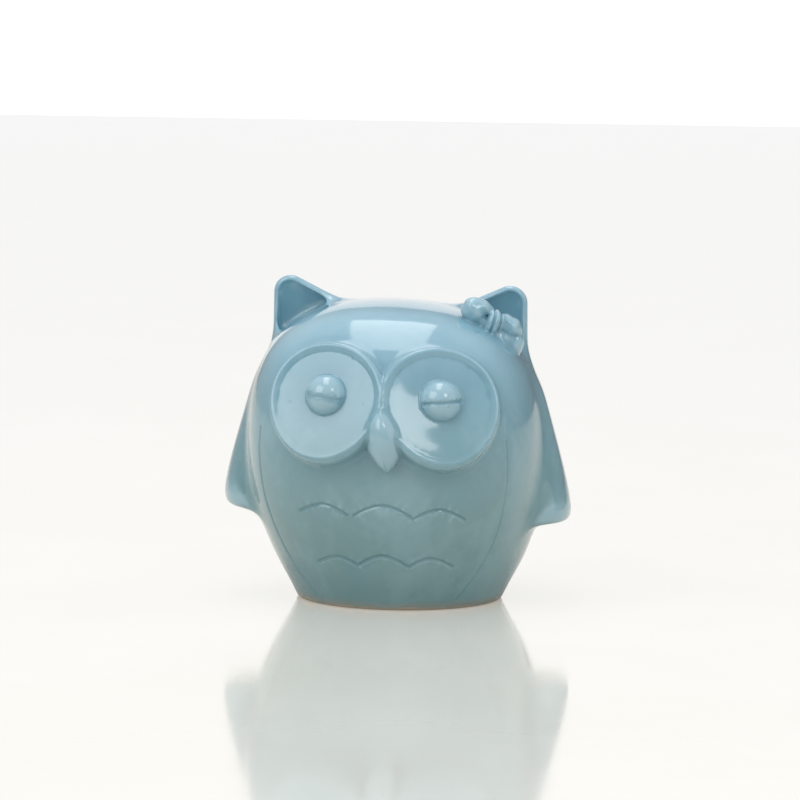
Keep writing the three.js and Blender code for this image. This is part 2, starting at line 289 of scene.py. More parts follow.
# Each loop of the bow as puffs of clay: centre and radii along the bow, front to back and upwards.
INNER_LOOP = [
    ((-6.4, -0.2, 0.2), (3.9, 3.6, 3.9)),
    ((-3.9, 0.0, 2.4), (2.7, 2.9, 2.2)),
    ((-3.4, -0.2, -1.4), (2.6, 2.8, 2.2)),
]
OUTER_LOOP = [
    ((5.2, -0.2, 2.1), (4.2, 3.8, 3.1)),
    ((4.9, -0.6, -2.9), (4.2, 3.9, 3.3)),
    ((8.6, -0.2, -2.2), (3.9, 3.7, 4.0)),
    ((2.6, 0.0, 0.0), (2.4, 2.6, 2.6)),
]


def bow_loop(p, puffs):
    """Puffs of clay pressed together, a little crumpled."""
    x, y, z = bow_local(p)
    loop = puff(x, y, z, *puffs[0])
    for centre, radii in puffs[1:]:
        loop = join(loop, puff(x, y, z, centre, radii), 1.0)
    crumple = np.cos(1.15 * x + 0.8 * z) * np.cos(0.9 * z - 0.5 * x + 0.6)
    return (loop + 0.22 * crumple) * 0.85


def bow_knot(p):
    """A squarish lump with folds pressed across it."""
    x, y, z = bow_local(p)
    bulk = np.abs(x / 3.0) ** 2.4 + np.abs((y + 0.9) / 4.2) ** 2.4 + np.abs((z - 0.2) / 4.1) ** 2.6
    e = bulk ** (1 / 2.4)
    fold = np.cos((x + 0.25 * z + 0.3) * 1.45) ** 4
    return ((e - 1.0) * 2.8 + 0.5 * fold) * 0.85


def hollow(p, skin):
    """The chamber that holds the coins. The wall stays whole behind the eye plates."""
    room = meet(skin + WALL, RECESS_DEPTH + WALL - p[:, 2], 3.0)
    for side in (1, -1):
        inward = disc_local(p, side)[3]
        backing = np.maximum(-inward - 2.5, -(skin + 4.5 + WALL))
        room = carve(room, backing, 2.0)
    return room


def openings(p):
    """The coin slot, the recess under the foot and the stopper's hole."""
    x, y, z = p[:, 0], p[:, 1], p[:, 2]
    past_straight = np.maximum(np.abs(x) - (SLOT_LENGTH - SLOT_HEIGHT) / 2, 0.0)
    slot = np.hypot(past_straight, z - SLOT_Z) - SLOT_HEIGHT / 2
    slot = np.maximum(slot, SLOT_FROM_Y - y)
    middle = np.hypot(x, y)
    recess = np.maximum(middle - RECESS_R, z - RECESS_DEPTH)
    hole = np.maximum(middle - HOLE_R, z - HOLE_TOP_Z)
    return slot, recess, hole


PARTS = [
    "body_shell",
    "left_eye",
    "right_eye",
    "beak",
    "left_eye_disc",
    "right_eye_disc",
    "bow_knot",
    "bow_inner_loop",
    "bow_outer_loop",
    "left_ear",
    "right_ear",
    "left_wing",
    "right_wing",
]


def primitives(p):
    """Distance to each piece on its own, in the order of PARTS, for evened points."""
    body = egg(p)
    plates = [plate(p, side) for side in (1, -1)]
    discs = [np.maximum(block, -scoop) for block, scoop in plates]
    return [
        body,
        eyeball(p, 1),
        eyeball(p, -1),
        beak(p),
        *discs,
        bow_knot(p),
        bow_loop(p, INNER_LOOP),
        bow_loop(p, OUTER_LOOP),
        ear(p, 1),
        ear(p, -1),
        wing(p, 1),
        wing(p, -1),
    ]


def casting(p):
    """Distance to the whole fused casting, negative inside the clay."""
    slot, recess, hole = openings(p)
    ground = -p[:, 2]
    p = evened(p)
    one = dict(zip(PARTS, primitives(p)))
    body = meet(one["body_shell"], ground, 1.6)
    whole = join(join(body, one["left_wing"], 7.0), one["right_wing"], 7.0)
    whole = join(join(whole, one["left_ear"], 4.5), one["right_ear"], 4.5)
    blocks = [plate(p, side) for side in (1, -1)]
    discs = join(blocks[0][0], blocks[1][0], 1.2)
    whole = join(whole, discs, 2.6)
    for block, scoop in blocks:
        whole = carve(whole, scoop, 0.4)
    for name in ("left_eye", "right_eye"):
        whole = join(whole, one[name], 0.9)
    whole = join(whole, one["beak"], 1.2)
    bow = join(join(one["bow_inner_loop"], one["bow_outer_loop"], 0.5), one["bow_knot"], 0.9)
    whole = join(whole, bow, 1.2)
    whole = np.maximum(whole, -hollow(p, one["body_shell"]))
    return carve(carve(carve(whole, slot, 1.6), recess, 1.2), hole, 0.8)


# ---- The skin: a mesh on the casting's surface ----
def gradient(p, step=0.04):
    """Direction in which the casting's distance grows, and that distance."""
    corners = np.array([(1, -1, -1), (-1, -1, 1), (-1, 1, -1), (1, 1, 1)], float)
    values = [casting(p + corner * step) for corner in corners]
    grade = sum(value[:, None] * corner for value, corner in zip(values, corners)) / (4.0 * step)
    return grade, sum(values) / 4.0


def settle(p, rounds):
    """Moves points onto the casting's surface."""
    for _ in range(rounds):
        grade, value = gradient(p)
        size = np.maximum((grade * grade).sum(1), 0.05)
        move = -(value / size)[:, None] * grade
        length = np.linalg.norm(move, axis=1)[:, None]
        p = p + move * np.minimum(1.0, 0.6 / np.maximum(length, 1e-9))
    return p


def skin_from_grid(low, high, step):
    """Points and four-sided faces round the casting, a point in each grid cell that its skin crosses."""
    axes = [np.arange(a, b + step, step) for a, b in zip(low, high)]
    shape = tuple(len(axis) for axis in axes)
    field = np.empty(shape)
    for i, x in enumerate(axes[0]):
        y, z = np.meshgrid(axes[1], axes[2], indexing="ij")
        field[i] = casting(np.column_stack([np.full(y.size, x), y.ravel(), z.ravel()])).reshape(y.shape)
    inside = field < 0
    cells = tuple(n - 1 for n in shape)
    count = np.zeros(cells, int)
    for corner in np.ndindex(2, 2, 2):
        count += inside[tuple(slice(c, c + n) for c, n in zip(corner, cells))]
    active = np.argwhere((count > 0) & (count < 8))
    index = np.full(cells, -1)
    index[tuple(active.T)] = np.arange(len(active))
    total, crossings = np.zeros((len(active), 3)), np.zeros(len(active))
    for axis in range(3):
        for pair in np.ndindex(2, 2):
            start = np.insert(np.array(pair), axis, 0)
            end = np.insert(np.array(pair), axis, 1)
            a = field[tuple((active + start).T)]
            b = field[tuple((active + end).T)]
            crossed = (a < 0) != (b < 0)
            share = np.where(crossed, a / np.where(crossed, a - b, 1.0), 0.0)
            total += crossed[:, None] * (start + share[:, None] * (end - start))
            crossings += crossed
    points = np.array(low) + (active + total / crossings[:, None]) * step
    quads = []
    for axis in range(3):
        one, two = (axis + 1) % 3, (axis + 2) % 3
        a = [slice(1, -1)] * 3
        a[axis] = slice(0, -1)
        b = list(a)
        b[axis] = slice(1, None)
        leaving = inside[tuple(a)] & ~inside[tuple(b)]
        entering = ~inside[tuple(a)] & inside[tuple(b)]
        for crossed, turn in ((leaving, 1), (entering, -1)):
            at = np.argwhere(crossed)
            base = at + 1
            base[:, axis] -= 1
            ring = []
            for d_one, d_two in ((-1, -1), (0, -1), (0, 0), (-1, 0)):
                cell = base.copy()
                cell[:, one] += d_one
                cell[:, two] += d_two
                ring.append(index[tuple(cell.T)])
            quads.append(np.column_stack(ring[::turn]))
    return points, np.vstack(quads)


def triangles_of(points, quads):
    """Each four-sided face cut along its shorter diagonal."""
    corner = points[quads]
    one, other = (np.linalg.norm(corner[:, i] - corner[:, i + 2], axis=1) for i in (0, 1))
    short = one <= other
    first = np.where(short[:, None], quads[:, [0, 1, 2]], quads[:, [1, 2, 3]])
    second = np.where(short[:, None], quads[:, [0, 2, 3]], quads[:, [1, 3, 0]])
    return np.vstack([first, second])


def edges_of(tris):
    """The distinct edges, and for each triangle the numbers of its edges ab, bc and ca."""
    pairs = np.sort(np.vstack([tris[:, [0, 1]], tris[:, [1, 2]], tris[:, [2, 0]]]), axis=1)
    span = int(tris.max()) + 1
    keys, back = np.unique(pairs[:, 0].astype(np.int64) * span + pairs[:, 1], return_inverse=True)
    edges = np.column_stack([keys // span, keys % span])
    return edges, back.reshape(3, -1).T


def spread(points, edges, values):
    """The mean of each point's neighbours."""
    count = np.bincount(edges.ravel(), minlength=len(points))
    mean = np.empty((len(points), values.shape[1]))
    for column in range(values.shape[1]):
        total = np.bincount(edges[:, 0], values[edges[:, 1], column], len(points))
        total += np.bincount(edges[:, 1], values[edges[:, 0], column], len(points))
        mean[:, column] = total / np.maximum(count, 1)
    return mean


# How a triangle abc splits when some of its edges ab (1), bc (2) and ca (4) are cut. Corners 0 to 2
# are a, b and c, and 3 to 5 are the points on ab, bc and ca.
SPLITS = {
    0: [(0, 1, 2)],
    1: [(0, 3, 2), (3, 1, 2)],
    2: [(1, 4, 0), (4, 2, 0)],
    4: [(2, 5, 1), (5, 0, 1)],
    3: [(1, 4, 3), (0, 3, 4), (0, 4, 2)],
    6: [(2, 5, 4), (1, 4, 5), (1, 5, 0)],
    5: [(0, 3, 5), (2, 5, 3), (2, 3, 1)],
    7: [(0, 3, 5), (3, 1, 4), (5, 4, 2), (3, 4, 5)],
}


def split(data, tris, edges, tri_edges, marked, share):
    """Cuts the marked edges at their share of the way, with every column of data following."""
    new_id = np.full(len(edges), -1)
    new_id[marked] = len(data) + np.arange(marked.sum())
    at = share[marked][:, None]
    fresh = data[edges[marked, 0]] * (1.0 - at) + data[edges[marked, 1]] * at
    corners = np.hstack([tris, new_id[tri_edges]])
    code = (marked[tri_edges] * np.array([1, 2, 4])).sum(1)
    made, origin = [], []
    for which, patterns in SPLITS.items():
        rows = np.flatnonzero(code == which)
        for pattern in patterns:
            made.append(corners[rows][:, pattern])
            origin.append(rows)
    return np.vstack([data, fresh]), np.vstack(made), np.concatenate(origin)


GRID_LOW, GRID_HIGH = (-55.0, -52.0, -2.0), (55.0, 46.0, 99.0)
# Each round of refining cuts the edges that bend by more degrees and are longer than this.
REFINING = ((14, 0.7), (12, 0.4), (12, 0.3))


def cast_skin():
    """The fused casting as points and triangles, finest where it bends most."""
    points, quads = skin_from_grid(GRID_LOW, GRID_HIGH, SKIN_GRID)
    tris = triangles_of(points, quads)
    points = settle(points, 3)
    edges, tri_edges = edges_of(tris)
    for _ in range(3):
        grade, _ = gradient(points)
        normal = grade / np.linalg.norm(grade, axis=1)[:, None]
        move = spread(points, edges, points) - points
        move -= (move * normal).sum(1)[:, None] * normal
        points = settle(points + 0.5 * move, 1)
    lines = np.vstack([line for line, _ in incised_lines()])
    for bend, shortest in REFINING[: 3]:
        grade, _ = gradient(points)
        normal = grade / np.maximum(np.linalg.norm(grade, axis=1)[:, None], 1e-9)
        edges, tri_edges = edges_of(tris)
        a, b = edges.T
        length = np.linalg.norm(points[a] - points[b], axis=1)
        turn = np.degrees(np.arccos(np.clip((normal[a] * normal[b]).sum(1), -1, 1)))
        middle = (points[a] + points[b]) / 2
        outside = egg(evened(middle)) > -3.0
        marked = (turn > bend) & (length > shortest) & outside
        marked |= (length > 0.36) & near_lines(middle, lines, 1.3)
        points, tris, _ = split(points, tris, edges, tri_edges, marked, np.full(len(edges), 0.5))
        points[len(grade):] = settle(points[len(grade):], 2)
    return points, tris


def near_lines(p, lines, reach):
    """Which points lie within reach of a drawn line."""
    close = np.zeros(len(p), bool)
    box_low, box_high = lines.min(0) - reach, lines.max(0) + reach
    rows = np.flatnonzero(((p > box_low) & (p < box_high)).all(1))
    for chunk in np.array_split(rows, max(1, len(rows) // 4000)):
        gap = ((p[chunk][:, None, :] - lines[None, :, :]) ** 2).sum(2).min(1)
        close[chunk] = gap < reach * reach
    return close


# ---- Lines scratched into the clay ----
SCALLOPS = [
    # middle x, peak z, half width, drop
    (0.5, 33.1, 8.7, 3.6),
    (16.9, 32.4, 7.3, 3.1),
    (-17.7, 32.2, 7.4, 2.8),
    (0.1, 17.5, 7.1, 3.1),
    (14.0, 17.0, 6.2, 2.8),
    (-13.6, 16.4, 6.0, 2.3),
]
SCALLOP_DEPTH, SEAM_DEPTH, LID_DEPTH = 0.55, 0.35, {1: 0.6, -1: 0.22}
SEAM_OUT = {1: 0.0, -1: 2.2}  # how much further out each wing seam starts


def onto_front(x, z):
    """Points on the front of the casting, found by moving in from the owl's front."""
    p = leaned(np.column_stack([x, np.full(len(x), -51.0), z]))
    for _ in range(60):
        p[:, 1] += np.clip(casting(p), -1.0, 3.0) * 0.7
    return p


def incised_lines():
    """Each line as points on the skin, with its depth."""
    lines = []
    t = np.linspace(-1, 1, 61)
    for x, z, half, drop in SCALLOPS:
        lines.append((onto_front(x + half * t, z - drop * np.abs(t) ** 1.7), SCALLOP_DEPTH))
    for side in (1, -1):
        out = SEAM_OUT[side]
        seam = bezier([(35.8 + out, 53), (37.6 + out, 38), (34.0 + out, 18), (21.0, 3.0)], 130)
        lines.append((onto_front(side * seam[:, 0], seam[:, 1]), SEAM_DEPTH))
        axes, centre = disc_frame(side)
        u = np.linspace(-0.92, 0.92, 41)
        v = EYE_V - LID_DROP - LID_SAG * (1 - u * u)
        dome = np.sqrt(np.clip(1 - u * u - ((v - EYE_V) / EYE_R) ** 2, 0.02, 1))
        rise = dome * (EYE_RISE + EYE_SUNK) - EYE_SUNK
        lid = np.column_stack([side * EYE_U + u * EYE_R, v, rise]) @ axes.T + centre
        lines.append((settle(leaned(lid), 3), LID_DEPTH[side]))
    return lines


def incising_nodes():
    """Presses a groove into a surface along every line near it."""
    tree = bpy.data.node_groups.new("Incised lines", "GeometryNodeTree")
    face = tree.interface
    face.new_socket("Geometry", in_out="INPUT", socket_type="NodeSocketGeometry")
    face.new_socket("Lines", in_out="INPUT", socket_type="NodeSocketObject")
    for name, value in (("Depth", 0.7), ("Half width", 0.5)):
        socket = face.new_socket(name, in_out="INPUT", socket_type="NodeSocketFloat")
        socket.default_value = value
    face.new_socket("Clay", in_out="INPUT", socket_type="NodeSocketMaterial")
    face.new_socket("Geometry", in_out="OUTPUT", socket_type="NodeSocketGeometry")
    nodes, links = tree.nodes, tree.links

    def add(kind, **settings):
        node = nodes.new(kind)
        for name, value in settings.items():
            setattr(node, name, value)
        return node

    def maths(operation, a, b=None):
        node = add("ShaderNodeMath", operation=operation)
        for slot, value in enumerate((a, b)):
            if isinstance(value, (int, float)):
                node.inputs[slot].default_value = value
            elif value is not None:
                links.new(value, node.inputs[slot])
        return node.outputs[0]

    given = add("NodeGroupInput").outputs
    info = add("GeometryNodeObjectInfo", transform_space="RELATIVE")
    links.new(given["Lines"], info.inputs["Object"])
    near = add("GeometryNodeProximity", target_element="EDGES")
    links.new(info.outputs["Geometry"], near.inputs[0])
    share = maths("DIVIDE", near.outputs["Distance"], given["Half width"])
    press = maths("EXPONENT", maths("MULTIPLY", maths("MULTIPLY", share, share), -1.0))
    depth = maths("MULTIPLY", maths("MULTIPLY", press, given["Depth"]), -1.0)
    push = add("ShaderNodeVectorMath", operation="SCALE")
    links.new(add("GeometryNodeInputNormal").outputs[0], push.inputs[0])
    links.new(depth, push.inputs["Scale"])
    move = add("GeometryNodeSetPosition")
    links.new(given["Geometry"], move.inputs["Geometry"])
    links.new(push.outputs[0], move.inputs["Offset"])
    realize = add("GeometryNodeRealizeInstances")
    links.new(move.outputs[0], realize.inputs[0])
    finish = add("GeometryNodeSetMaterial")
    links.new(realize.outputs[0], finish.inputs["Geometry"])
    links.new(given["Clay"], finish.inputs["Material"])
    links.new(finish.outputs[0], add("NodeGroupOutput").inputs[0])
    return tree


def set_inputs(modifier, **values):
    """Sets a node modifier's inputs by the identifiers of their sockets."""
    wanted = {name.replace("_", " "): value for name, value in values.items()}
    for item in modifier.node_group.interface.items_tree:
        if item.item_type == "SOCKET" and item.in_out == "INPUT" and item.name in wanted:
            modifier[item.identifier] = wanted[item.name]


def plain_mesh(points, faces, name):
    mesh = bpy.data.meshes.new(name)
    mesh.vertices.add(len(points))
    mesh.vertices.foreach_set("co", np.ascontiguousarray(points, np.float32).ravel())
    mesh.loops.add(faces.size)
    mesh.loops.foreach_set("vertex_index", faces.ravel().astype(np.int32))
    mesh.polygons.add(len(faces))
    width = faces.shape[1]
    mesh.polygons.foreach_set("loop_start", np.arange(len(faces), dtype=np.int32) * width)
    mesh.update(calc_edges=True)
    return mesh


def line_object(lines, name):
    """The drawn lines as one object of joined edges."""
    points, edges = [], []
    for line in lines:
        start = sum(len(part) for part in points)
        points.append(line)
        edges += [(start + i, start + i + 1) for i in range(len(line) - 1)]
    mesh = bpy.data.meshes.new(name)
    mesh.from_pydata(np.vstack(points).tolist(), edges, [])
    return add_object(mesh, name)


def add_object(mesh, name):
    thing = bpy.data.objects.new(name, mesh)
    bpy.context.scene.collection.objects.link(thing)
    return thing


def incise(points, tris, clay):
    """Presses every line into the skin and returns its moved points."""
    lines = incised_lines()
    skin = add_object(plain_mesh(points, tris, "casting skin"), "casting skin")
    tree = incising_nodes()
    drawn = []
    for depth in sorted({depth for line, depth in lines}):
        drawn.append(line_object([line for line, d in lines if d == depth], f"lines {depth}"))
        modifier = skin.modifiers.new(f"lines {depth}", "NODES")
        modifier.node_group = tree
        set_inputs(modifier, Lines=drawn[-1], Depth=depth, Half_width=0.4 + 0.25 * depth, Clay=clay)
    shown = skin.evaluated_get(bpy.context.evaluated_depsgraph_get())
    pressed = bpy.data.meshes.new_from_object(shown)
    moved = np.empty(len(pressed.vertices) * 3, np.float32)
    pressed.vertices.foreach_get("co", moved)
    for thing in [skin, *drawn]:
        bpy.data.objects.remove(thing)
    bpy.data.meshes.remove(pressed)
    return moved.reshape(-1, 3).astype(float)


# ---- The casting, ready to be cut into pieces ----
# Columns of the skin's data: place, normal, hollowness (narrow, wide), height above the plain egg,
# and from OWN on the distance to each piece in the order of PARTS.
NORMAL, NARROW, WIDE, ABOVE, OWN = 3, 6, 7, 8, 9


def mesh_normals(points, tris):
    a, b, c = (points[tris[:, i]] for i in range(3))
    face = np.cross(b - a, c - a)
    normal = np.column_stack(
        [sum(np.bincount(tris[:, i], face[:, k], len(points)) for i in range(3)) for k in range(3)]
    )
    return normal / np.maximum(np.linalg.norm(normal, axis=1)[:, None], 1e-12)


def hollowness(points, normals, edges, rounds, scale):
    """How far each point lies below its neighbourhood, from -1 on ridges to 1 in hollows."""
    soft = points
    for _ in range(rounds):
        soft = 0.5 * soft + 0.5 * spread(soft, edges, soft)
    return np.clip(((soft - points) * normals).sum(1) / scale, -1, 1)


def make_casting(clay):
    points, tris = cast_skin()
    smooth = points
    points = incise(points, tris, clay)
    normals = mesh_normals(points, tris)
    moved = np.linalg.norm(points - smooth, axis=1) > 0.004
    grade, _ = gradient(points)
    exact = grade / np.maximum(np.linalg.norm(grade, axis=1)[:, None], 1e-9)
    agrees = (exact * normals).sum(1) > 0.9
    normals = np.where((~moved & agrees)[:, None], exact, normals)
    edges, tri_edges = edges_of(tris)
    narrow = hollowness(points, normals, edges, 6, 0.16)
    wide = hollowness(points, normals, edges, 60, 1.2)
    own = np.column_stack(primitives(evened(points)))
    data = np.column_stack([points, normals, narrow, wide, own[:, 0], own])
    return data, tris


def groups_of(tris, count):
    """A number for each triangle, the same for triangles that hang together."""
    parent = np.arange(count)
    pairs = np.vstack([tris[:, [0, 1]], tris[:, [1, 2]]])
    while True:
        a, b = parent[pairs[:, 0]], parent[pairs[:, 1]]
        high, low = np.maximum(a, b), np.minimum(a, b)
        if (high == low).all():
            return parent[tris[:, 0]]
        np.minimum.at(parent, high, low)
        while (parent[parent] != parent).any():
            parent = parent[parent]


def cut_out(data, tris, value):
    """Cuts the skin where value(data) passes zero. Returns the data and the two sets of triangles."""
    level = value(data)
    edges, tri_edges = edges_of(tris)
    a, b = edges.T
    crossed = level[a] * level[b] < 0
    share = np.where(crossed, level[a] / np.where(crossed, level[a] - level[b], 1), 0.5)
    snapped = level.copy()
    snapped[a[crossed & (share < 0.15)]] = 0
    snapped[b[crossed & (share > 0.85)]] = 0
    marked = snapped[a] * snapped[b] < 0
    data, fresh, origin = split(data, tris, edges, tri_edges, marked, share)
    full = np.concatenate([snapped, np.zeros(len(data) - len(snapped))])
    side = full[fresh].sum(1)
    undecided = side == 0
    side[undecided] = level[tris[origin[undecided]]].mean(1)
    return data, fresh[side < 0], fresh[side >= 0]


def take_piece(casting_now, name):
    """Cuts one piece out of what is left of the casting, in one hanging-together patch."""
    data, tris, left = casting_now["data"], casting_now["tris"], casting_now["left"]
    which = PARTS.index(name)
    rivals = [name + "_disc"] if name.endswith("_eye") else [other for other in left if other != name]
    rivals = [PARTS.index(other) for other in rivals]

    def level(rows):
        own = rows[:, OWN:]
        lead = own[:, which] - own[:, rivals].min(1)
        if name.endswith("_disc"):
            side = 1 if name.startswith("left") else -1
            lead = np.minimum(lead, inside_plate(evened(rows[:, :3]), side))
        return np.maximum(lead, -(rows[:, ABOVE] + 6.5))

    data, piece, rest = cut_out(data, tris, level)
    group = groups_of(piece, len(data))
    kept = group == np.bincount(group).argmax()
    rest = np.vstack([rest, piece[~kept]])
    group = groups_of(rest, len(data))
    size = np.bincount(group)
    island = size[group] < 0.02 * size.max()
    piece = np.vstack([piece[kept], rest[island]])
    casting_now.update(data=data, tris=rest[~island], left=[other for other in left if other != name])
    return data, piece


def inside_plate(p, side):
    """Negative within the outline of one eye plate, on its own side of the other plate."""
    _, _, w, inward = disc_local(p, side)
    return np.maximum(np.maximum(0.6 - inward, disc_local(p, -side)[3] - inward), -w - 6.0)


def rims_of(tris, points):
    """The closed rims of a patch, longest first, each in the order its triangles run."""
    span = int(tris.max()) + 1
    pairs = np.vstack([tris[:, [0, 1]], tris[:, [1, 2]], tris[:, [2, 0]]]).astype(np.int64)
    keys = pairs[:, 0] * span + pairs[:, 1]
    back = pairs[:, 1] * span + pairs[:, 0]
    alone = pairs[~np.isin(keys, back)]
    following = {}
    for start, end in alone.tolist():
        following.setdefault(start, []).append(end)
    rims = []
    while following:
        at = next(iter(following))
        rim = []
        while at in following:
            rim.append(at)
            onward = following[at]
            nxt = onward.pop()
            if not onward:
                del following[at]
            at = nxt
        rims.append(np.array(rim))
    around = [np.linalg.norm(points[rim] - points[np.roll(rim, 1)], axis=1).sum() for rim in rims]
    return [rims[i] for i in np.argsort(around)[::-1]]


def close_back(data, tris, backs):
    """Closes every rim of a patch with a back inside the clay, so that the piece is one solid.

    backs gives, for the longest rim and then the others, the depth of the back, the power that says
    how soon it falls away from the rim, and whether it follows the plain egg instead of a cone.
    """
    points = data[:, :3]
    made, fresh = [tris], []
    count = len(points)
    for number, rim in enumerate(rims_of(tris, points)):
        depth, power, follow = backs[min(number, len(backs) - 1)]
        ring, edge = rim, points[rim]
        middle = edge.mean(0)
        if follow:
            rim_height = egg(evened(edge))
            shares = (0.95, 0.88, 0.76, 0.55, 0.3)
        else:
            inward = -data[rim, NORMAL : NORMAL + 3].mean(0)
            inward /= max(np.linalg.norm(inward), 1e-9)
            shares = ()
        for share in shares:
            place = middle + (edge - middle) * share
            goal = rim_height * share**power - depth * (1 - share**power)
            for _ in range(4):
                place = to_level(place, goal)
            fresh.append(place)
            inner = count + np.arange(len(rim))
            count += len(rim)
            after, inner_after = np.roll(ring, -1), np.roll(inner, -1)
            made.append(np.column_stack([after, ring, inner]))
            made.append(np.column_stack([after, inner, inner_after]))
            ring = inner
        centre = middle[None, :]
        if follow:
            for _ in range(4):
                centre = to_level(centre, np.array([-depth]))
        else:
            centre = centre + inward * depth
        fresh.append(centre)
        made.append(np.column_stack([np.roll(ring, -1), ring, np.full(len(ring), count)]))
        count += 1
    return np.vstack([points, *fresh]), np.vstack(made)


def to_level(p, goal, step=0.05):
    """Moves points towards the egg that lies goal millimetres outside the plain one."""
    ahead, behind = ([egg(evened(p + way * step * e)) for e in np.eye(3)] for way in (1, -1))
    grade = (np.column_stack(ahead) - np.column_stack(behind)) / (2 * step)
    off = egg(evened(p)) - goal
    size = np.maximum((grade * grade).sum(1), 0.1)
    return p - (off / size)[:, None] * grade


def piece_object(name, data, tris, backs, clay, node):
    """Makes the finished object of one ceramic piece, in metres, standing where it belongs."""
    points, faces = close_back(data, tris, backs)
    used, compact = np.unique(faces, return_inverse=True)
    faces = compact.reshape(faces.shape)
    skin_rows = used < len(data)
    shown = np.zeros((len(used), data.shape[1]))
    shown[skin_rows] = data[used[skin_rows]]
    place = points[used] + [0, SET_BACK, 0]
    mesh = plain_mesh(place * MM, faces, name)
    own_normals = mesh_normals(place, faces)
    normals = np.where(skin_rows[:, None], shown[:, NORMAL : NORMAL + 3], own_normals)
    mesh.normals_split_custom_set_from_vertices(normals.tolist())
    for label, column in (("hollow_narrow", NARROW), ("hollow_wide", WIDE), ("above_egg", ABOVE)):
        attribute = mesh.attributes.new(label, "FLOAT", "POINT")
        attribute.data.foreach_set("value", shown[:, column].astype(np.float32))
    mesh.materials.append(clay)
    thing = add_object(mesh, name)
    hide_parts(node)
    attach(thing, "bank")
    return thing


# ---- Materials ----
class Nodes:
    """Adds and links the nodes of one tree."""

    def __init__(self, tree):
        self.tree = tree

    def add(self, kind, settings=None, **inputs):
        node = self.tree.nodes.new(kind)
        for name, value in (settings or {}).items():
            setattr(node, name, value)
        for name, value in inputs.items():
            self.feed(node, name.replace("_", " "), value)
        return node

    def feed(self, node, name, value):
        socket = node.inputs[int(name[1:])] if name[0] == "#" else node.inputs[name]
        if isinstance(value, bpy.types.NodeSocket):
            self.tree.links.new(value, socket)
        elif value is not None:
            socket.default_value = value

    def maths(self, operation, a, b=None, clamp=False):
        node = self.add("ShaderNodeMath", {"operation": operation, "use_clamp": clamp})
        for slot, value in enumerate((a, b)):
            self.feed(node, f"#{slot}", value)
        return node.outputs[0]

    def ramp(self, value, low, high, to_low=0.0, to_high=1.0):
        node = self.add("ShaderNodeMapRange", {"interpolation_type": "SMOOTHSTEP"})
        for name, given in (
            ("Value", value),
            ("From Min", low),
            ("From Max", high),
            ("To Min", to_low),
            ("To Max", to_high),
        ):
            self.feed(node, name, given)
        return node.outputs["Result"]

    def mix(self, share, a, b):
        node = self.add("ShaderNodeMix", {"data_type": "RGBA"})
        for slot, value in ((0, share), (6, a), (7, b)):
            self.feed(node, f"#{slot}", value)
        return node.outputs[2]

    def noise(self, vector, scale, detail=3.0, roughness=0.5):
        node = self.add("ShaderNodeTexNoise", None, Vector=vector, Scale=scale, Detail=detail)
        node.inputs["Roughness"].default_value = roughness
        return node.outputs[0]


def node_group(name, inputs, outputs):
    """A shader node group with named number sockets: the group, its Nodes, and its two ends."""
    group = bpy.data.node_groups.new(name, "ShaderNodeTree")
    for title, default in inputs:
        socket = group.interface.new_socket(title, in_out="INPUT", socket_type="NodeSocketFloat")
        socket.default_value = default
    for title in outputs:
        group.interface.new_socket(title, in_out="OUTPUT", socket_type="NodeSocketFloat")
    nodes = Nodes(group)
    given = nodes.add("NodeGroupInput").outputs
    result = nodes.add("NodeGroupOutput")
    return group, nodes, given, result


def glaze_depth_group():
    """How thick the glaze has run: thick in hollows, thin on ridges."""
    group, n, given, result = node_group(
        "Glaze depth",
        [("Pooling", 1.0), ("Breaking", 1.0), ("Clouding", 0.3)],
        ["Thick", "Thin", "Cloud"],
    )
    place = n.add("ShaderNodeTexCoord").outputs["Object"]
    narrow = n.add("ShaderNodeAttribute", {"attribute_name": "hollow_narrow"}).outputs["Fac"]
    wide = n.add("ShaderNodeAttribute", {"attribute_name": "hollow_wide"}).outputs["Fac"]
    blotch = n.noise(place, 45.0, 4.0, 0.6)
    pool = n.maths("ADD", n.ramp(narrow, 0.04, 0.75), n.maths("MULTIPLY", n.ramp(wide, 0.05, 0.7), 0.55))
    pool = n.maths("MULTIPLY", pool, n.ramp(blotch, 0.3, 0.7, 0.75, 1.15))
    thin = n.maths("ADD", n.ramp(narrow, -0.05, -0.8), n.maths("MULTIPLY", n.ramp(wide, -0.1, -0.8), 0.5))
    thin = n.maths("MULTIPLY", thin, n.ramp(blotch, 0.35, 0.7, 1.1, 0.7))
    stretch = n.add("ShaderNodeMapping", None, Vector=place, Scale=(1.0, 1.0, 0.32)).outputs[0]
    runs = n.noise(stretch, 75.0, 4.0, 0.55)
    cloud = n.maths("ADD", n.maths("MULTIPLY", blotch, 0.55), n.maths("MULTIPLY", runs, 0.45))
    cloud = n.maths("MULTIPLY", n.ramp(cloud, 0.36, 0.64, -1.0, 1.0), given["Clouding"])
    n.feed(result, "Thick", n.maths("MULTIPLY", pool, given["Pooling"], clamp=True))
    n.feed(result, "Thin", n.maths("MULTIPLY", thin, given["Breaking"], clamp=True))
    n.feed(result, "Cloud", cloud)
    return group


